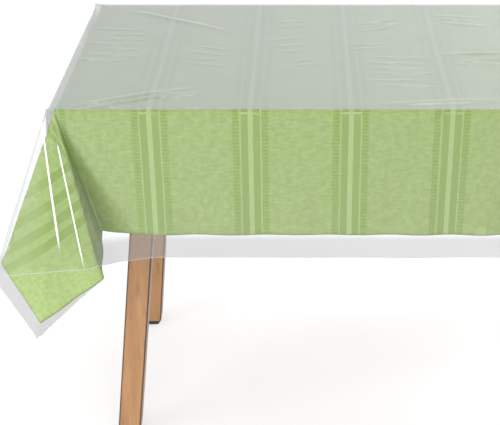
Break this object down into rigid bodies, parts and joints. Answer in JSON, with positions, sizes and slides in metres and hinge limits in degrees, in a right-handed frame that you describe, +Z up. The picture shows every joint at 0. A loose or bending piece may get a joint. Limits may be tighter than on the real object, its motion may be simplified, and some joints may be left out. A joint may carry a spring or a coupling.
{
  "type": "tablecloth on a table",
  "caption": "Rectangular table with splayed square legs, draped with a light green striped tablecloth and a clear vinyl protector with folded corners.",
  "frame": {"origin": "on the floor, under the middle of the table", "axes": "+X along the table's long side, -Y towards the front, +Z up"},
  "size_m": [1.4858, 0.6958, 0.75],
  "materials": {
    "green_cloth": "woven, with satin bands",
    "clear_vinyl": "clear, glossy, softly creased",
    "brown_wood": "satin lacquer",
    "black_plastic": "moulded",
    "zinc_steel": "zinc plated"
  },
  "bodies": {
    "table": {"table_top": "brown_wood", "apron_front": "brown_wood", "apron_back": "brown_wood", "apron_left": "brown_wood", "apron_right": "brown_wood", "leg_front_left": "brown_wood", "leg_front_right": "brown_wood", "leg_back_left": "brown_wood", "leg_back_right": "brown_wood", "foot_front_left": "black_plastic", "foot_front_right": "black_plastic", "foot_back_left": "black_plastic", "foot_back_right": "black_plastic", "corner_brace_front_left": "brown_wood", "corner_brace_front_right": "brown_wood", "corner_brace_back_left": "brown_wood", "corner_brace_back_right": "brown_wood", "leg_bolts": "zinc_steel", "leg_washers": "zinc_steel", "leg_nuts": "zinc_steel", "foot_nails": "zinc_steel", "top_brackets": "zinc_steel", "bracket_screws": "zinc_steel"},
    "tablecloth": {"tablecloth": "green_cloth"},
    "protector": {"clear_protector": "clear_vinyl"}
  },
  "joints": [
    {"name": "tablecloth_lift", "type": "slide", "parent": "table", "child": "tablecloth", "axis": [0, 0, 1], "range_m": [0, 0.45]},
    {"name": "protector_lift", "type": "slide", "parent": "tablecloth", "child": "protector", "axis": [0, 0, 1], "range_m": [0, 0.48]}
  ]
}
